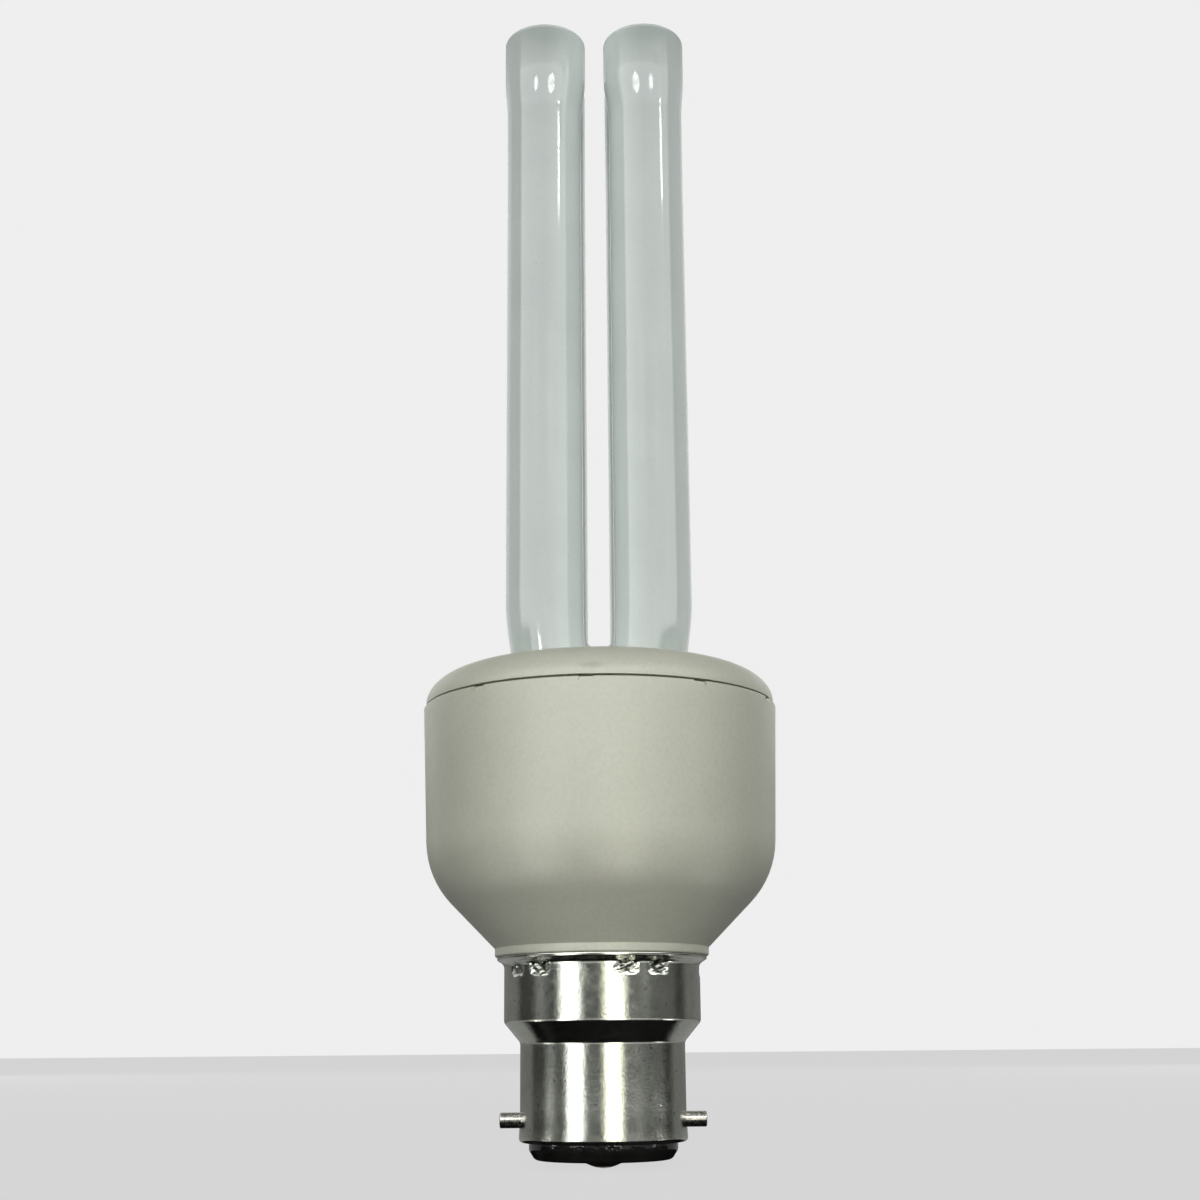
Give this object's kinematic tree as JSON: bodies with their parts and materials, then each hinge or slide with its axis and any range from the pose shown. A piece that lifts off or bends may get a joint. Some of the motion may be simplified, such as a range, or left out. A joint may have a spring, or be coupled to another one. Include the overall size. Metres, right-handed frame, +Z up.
{
  "type": "compact fluorescent lamp",
  "caption": "Compact fluorescent lamp: white coated glass limbs on a round plastic case that holds the ballast, with a metal bayonet cap.",
  "frame": {"origin": "on the lamp's axis, level with the axis of the two bayonet pins", "axes": "+Z up the lamp's axis from the cap to the tips of the glass, X along the bayonet pins with +X to the picture's right, -Y towards the picture's viewer"},
  "size_m": [0.0484, 0.0484, 0.1599],
  "materials": {
    "coated_glass": "gloss, opaque white coating inside",
    "case_plastic": "satin",
    "cap_metal": "bright plated, fine scratches",
    "pin_metal": "dull plated",
    "black_glass": "gloss, opaque",
    "solder": "dull",
    "tinned_wire": "satin",
    "board": "matte",
    "ferrite": "matte",
    "bobbin_plastic": "matte",
    "copper": "satin",
    "dark_sleeve": "gloss",
    "black_resin": "matte",
    "film_resin": "gloss",
    "resistor_body": "satin"
  },
  "bodies": {
    "root": {"discharge_tube": "coated_glass", "tube_collar": "case_plastic", "ballast_housing": "case_plastic", "cap_shell": "cap_metal", "bayonet_pin_left": "pin_metal", "bayonet_pin_right": "pin_metal", "cap_insulator": "black_glass", "contact_front": "solder", "contact_rear": "solder", "supply_lead_front": "tinned_wire", "supply_lead_rear": "tinned_wire", "electrode_leads": "tinned_wire", "circuit_board": "board", "choke_core": "ferrite", "choke_bobbin": "bobbin_plastic", "choke_winding": "copper", "storage_capacitor": "dark_sleeve", "drive_transformer": "ferrite", "transistor_left": "black_resin", "transistor_right": "black_resin", "resonance_capacitor": "film_resin", "coupling_capacitor": "film_resin", "bridge_rectifier": "black_resin", "filter_choke": "dark_sleeve", "fusible_resistor": "resistor_body", "trigger_diode": "resistor_body"}
  },
  "joints": []
}
